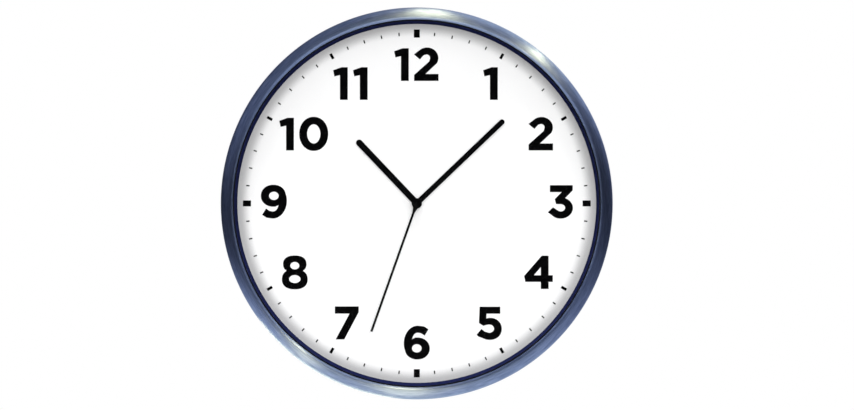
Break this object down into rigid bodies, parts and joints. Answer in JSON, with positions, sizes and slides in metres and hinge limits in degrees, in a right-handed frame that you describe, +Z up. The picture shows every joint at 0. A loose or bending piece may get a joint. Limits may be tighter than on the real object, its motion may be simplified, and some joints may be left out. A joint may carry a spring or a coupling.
{
  "type": "outdoor wall clock",
  "caption": "Round outdoor wall clock with a convex brushed steel case, flat glass, white dial with black numerals, three turning hands and a sealed movement behind a rear hatch.",
  "frame": {"origin": "the point of the hand axis in the wall plane, on the flat rear face of the back cover", "axes": "+Z up through 12 on the dial, +Y into the wall along the hand axis, so the face looks towards -Y, and +X towards 3 on the dial"},
  "size_m": [0.355, 0.0475, 0.355],
  "materials": {
    "bezel_steel": "brushed along the ring",
    "window_glass": "clear and polished",
    "gasket_rubber": "moulded, dull",
    "ring_plastic": "glossy dark navy",
    "dial_white": "matt white enamel on thin aluminium",
    "dial_ink": "screen-printed matt black ink",
    "carrier_plastic": "moulded",
    "cover_plastic": "fine moulded grain",
    "screw_steel": "bright stainless",
    "plate_steel": "rolled sheet",
    "hand_black": "matt black lacquer on aluminium",
    "movement_plastic": "moulded",
    "plate_plastic": "moulded",
    "board_green": "solder mask on glass laminate",
    "chip_plastic": "moulded epoxy",
    "can_metal": "bright plated can",
    "ferrite": "sintered, dark grey",
    "copper_wire": "enamelled copper winding",
    "soft_iron": "stamped sheet",
    "magnet_grey": "sintered magnet on a plastic pinion",
    "wheel_plastic": "moulded acetal",
    "cell_jacket": "printed film sleeve, plain",
    "contact_metal": "nickel-plated spring steel",
    "button_plastic": "moulded"
  },
  "bodies": {
    "root": {"steel_case": "bezel_steel", "glass_lens": "window_glass", "lens_gasket": "gasket_rubber", "spacer_ring": "ring_plastic", "dial_sheet": "dial_white", "dial_print": "dial_ink", "dial_carrier": "carrier_plastic", "back_cover": "cover_plastic", "back_gasket": "gasket_rubber", "cover_screws": "screw_steel", "hanger_plate": "plate_steel", "hanger_screws": "screw_steel", "movement_back_case": "movement_plastic", "movement_front_plate": "plate_plastic", "train_plate": "plate_plastic", "movement_screws": "screw_steel", "circuit_board": "board_green", "circuit_chips": "chip_plastic", "quartz_crystals": "can_metal", "ferrite_rod": "ferrite", "antenna_coil": "copper_wire", "second_motor_coil": "copper_wire", "second_stator": "soft_iron", "minute_motor_coil": "copper_wire", "minute_stator": "soft_iron", "battery_cell": "cell_jacket", "battery_spring": "contact_metal", "battery_plate": "contact_metal"},
    "second": {"second_hand": "hand_black", "second_wheel": "wheel_plastic"},
    "minute": {"minute_hand": "hand_black", "minute_wheel": "wheel_plastic"},
    "hour": {"hour_hand": "hand_black", "hour_wheel": "wheel_plastic"},
    "motion": {"motion_wheel": "wheel_plastic"},
    "minute_step": {"minute_step_wheel": "wheel_plastic"},
    "minute_rotor": {"minute_rotor": "magnet_grey"},
    "second_step": {"second_step_wheel": "wheel_plastic"},
    "second_rotor": {"second_rotor": "magnet_grey"},
    "hatch": {"battery_hatch": "cover_plastic", "hatch_gasket": "gasket_rubber", "hatch_screws": "screw_steel"},
    "set_button": {"set_button": "button_plastic"},
    "receive_button": {"receive_button": "button_plastic"},
    "reset_button": {"reset_button": "button_plastic"}
  },
  "joints": [
    {"name": "second_hand_turn", "type": "hinge", "parent": "root", "child": "second", "pos_m": [0, -0.03, 0], "axis": [0, 1, 0], "continuous": true},
    {"name": "minute_hand_turn", "type": "hinge", "parent": "root", "child": "minute", "pos_m": [0, -0.03, 0], "axis": [0, 1, 0], "continuous": true},
    {"name": "hour_hand_turn", "type": "hinge", "parent": "root", "child": "hour", "pos_m": [0, -0.03, 0], "axis": [0, 1, 0], "continuous": true},
    {"name": "motion_wheel_turn", "type": "hinge", "parent": "root", "child": "motion", "pos_m": [0, -0.02, 0.012], "axis": [0, 1, 0], "continuous": true},
    {"name": "minute_step_turn", "type": "hinge", "parent": "root", "child": "minute_step", "pos_m": [0.0144, -0.017, 0], "axis": [0, 1, 0], "continuous": true},
    {"name": "minute_rotor_turn", "type": "hinge", "parent": "root", "child": "minute_rotor", "pos_m": [0.01905, -0.019, 0.01278], "axis": [0, 1, 0], "continuous": true},
    {"name": "second_step_turn", "type": "hinge", "parent": "root", "child": "second_step", "pos_m": [-0.014, -0.017, 0], "axis": [0, 1, 0], "continuous": true},
    {"name": "second_rotor_turn", "type": "hinge", "parent": "root", "child": "second_rotor", "pos_m": [-0.0188, -0.019, 0.00831], "axis": [0, 1, 0], "continuous": true},
    {"name": "hatch_off", "type": "slide", "parent": "root", "child": "hatch", "axis": [0, 1, 0], "range_m": [0, 0.025]},
    {"name": "set_button_press", "type": "slide", "parent": "root", "child": "set_button", "axis": [0, -1, 0], "range_m": [0, 0.0007], "stiffness_N_per_m": 300, "springref_m": -0.0005},
    {"name": "receive_button_press", "type": "slide", "parent": "root", "child": "receive_button", "axis": [0, -1, 0], "range_m": [0, 0.0007], "stiffness_N_per_m": 300, "springref_m": -0.0005},
    {"name": "reset_button_press", "type": "slide", "parent": "root", "child": "reset_button", "axis": [0, -1, 0], "range_m": [0, 0.0007], "stiffness_N_per_m": 300, "springref_m": -0.0005}
  ],
  "couplings": [
    {"joint": "hour_hand_turn", "follows": "minute_hand_turn", "ratio": 0.083333},
    {"joint": "motion_wheel_turn", "follows": "minute_hand_turn", "ratio": -0.33333},
    {"joint": "minute_step_turn", "follows": "minute_hand_turn", "ratio": -8},
    {"joint": "minute_rotor_turn", "follows": "minute_hand_turn", "ratio": 60},
    {"joint": "second_step_turn", "follows": "second_hand_turn", "ratio": -6},
    {"joint": "second_rotor_turn", "follows": "second_hand_turn", "ratio": 30}
  ]
}
